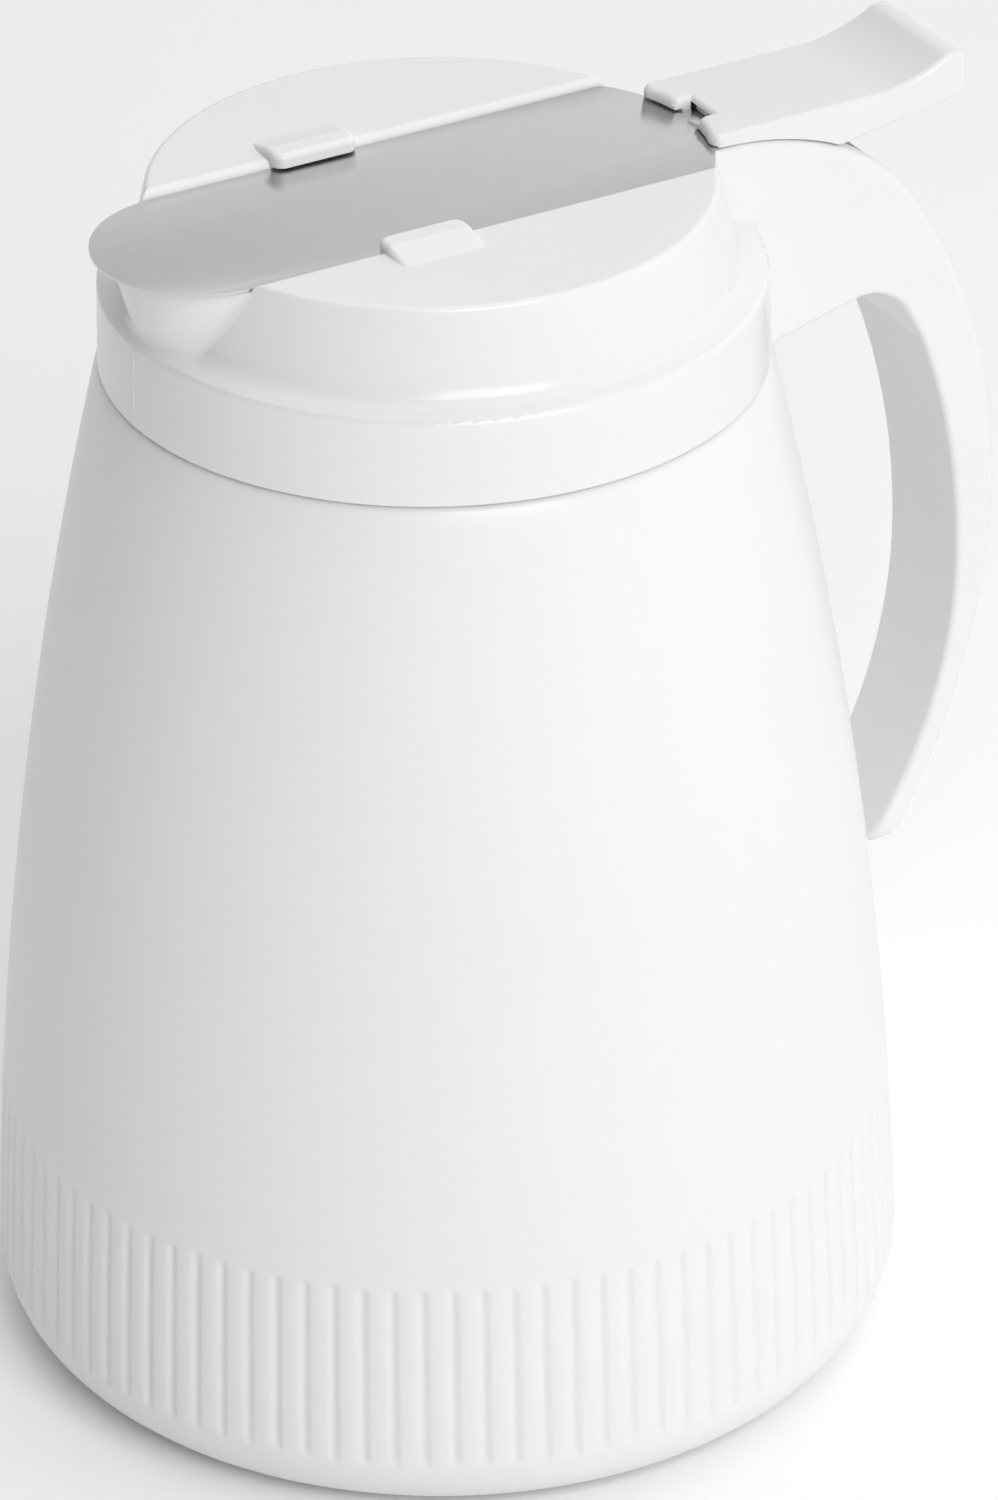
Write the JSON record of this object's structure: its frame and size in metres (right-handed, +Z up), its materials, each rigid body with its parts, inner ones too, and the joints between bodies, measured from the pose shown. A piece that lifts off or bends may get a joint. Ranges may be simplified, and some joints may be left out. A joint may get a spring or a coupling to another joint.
{
  "type": "syrup dispenser",
  "caption": "Ribbed translucent pouring jar with a screw-on top that carries a spout, a grip handle and a sliding steel lid drawn back by a thumb lever.",
  "frame": {"origin": "middle of the jar's foot, on the table", "axes": "+Z up along the jar's axis, +X towards the handle and the thumb lever, -X towards the spout; the XZ plane is the plane of symmetry"},
  "size_m": [0.1518, 0.131, 0.183],
  "materials": {
    "jar_plastic": "translucent, soft gloss",
    "top_plastic": "glossy white",
    "seal": "matt, food-safe elastomer",
    "slide_steel": "fine satin, bright edges",
    "lever_plastic": "glossy white",
    "pin_steel": "plain drawn steel",
    "spring_steel": "stainless wire"
  },
  "bodies": {
    "jar": {"jar": "jar_plastic"},
    "gasket": {"neck_seal": "seal"},
    "top": {"top_body": "top_plastic", "lever_pin": "pin_steel"},
    "lever": {"thumb_lever": "lever_plastic", "return_spring": "spring_steel"},
    "blade": {"slide_blade": "slide_steel"}
  },
  "joints": [
    {"name": "top_rise", "type": "slide", "parent": "jar", "child": "gasket", "axis": [0, 0, 1], "range_m": [0, 0.01]},
    {"name": "top_turn", "type": "hinge", "parent": "gasket", "child": "top", "pos_m": [0, 0, 0.158], "axis": [0, 0, 1], "range_deg": [0, 720]},
    {"name": "lever_hinge", "type": "hinge", "parent": "top", "child": "lever", "pos_m": [0.0525, 0, 0.1515], "axis": [0, 1, 0], "range_deg": [0, 36], "stiffness_Nm_per_rad": 0.19, "springref_deg": -45.84},
    {"name": "blade_slide", "type": "slide", "parent": "top", "child": "blade", "axis": [1, 0, 0], "range_m": [0, 0.01714]}
  ],
  "couplings": [
    {"joint": "top_turn", "follows": "top_rise", "rad_per_m": 1256.6},
    {"joint": "blade_slide", "follows": "lever_hinge", "m_per_rad": 0.027273}
  ]
}
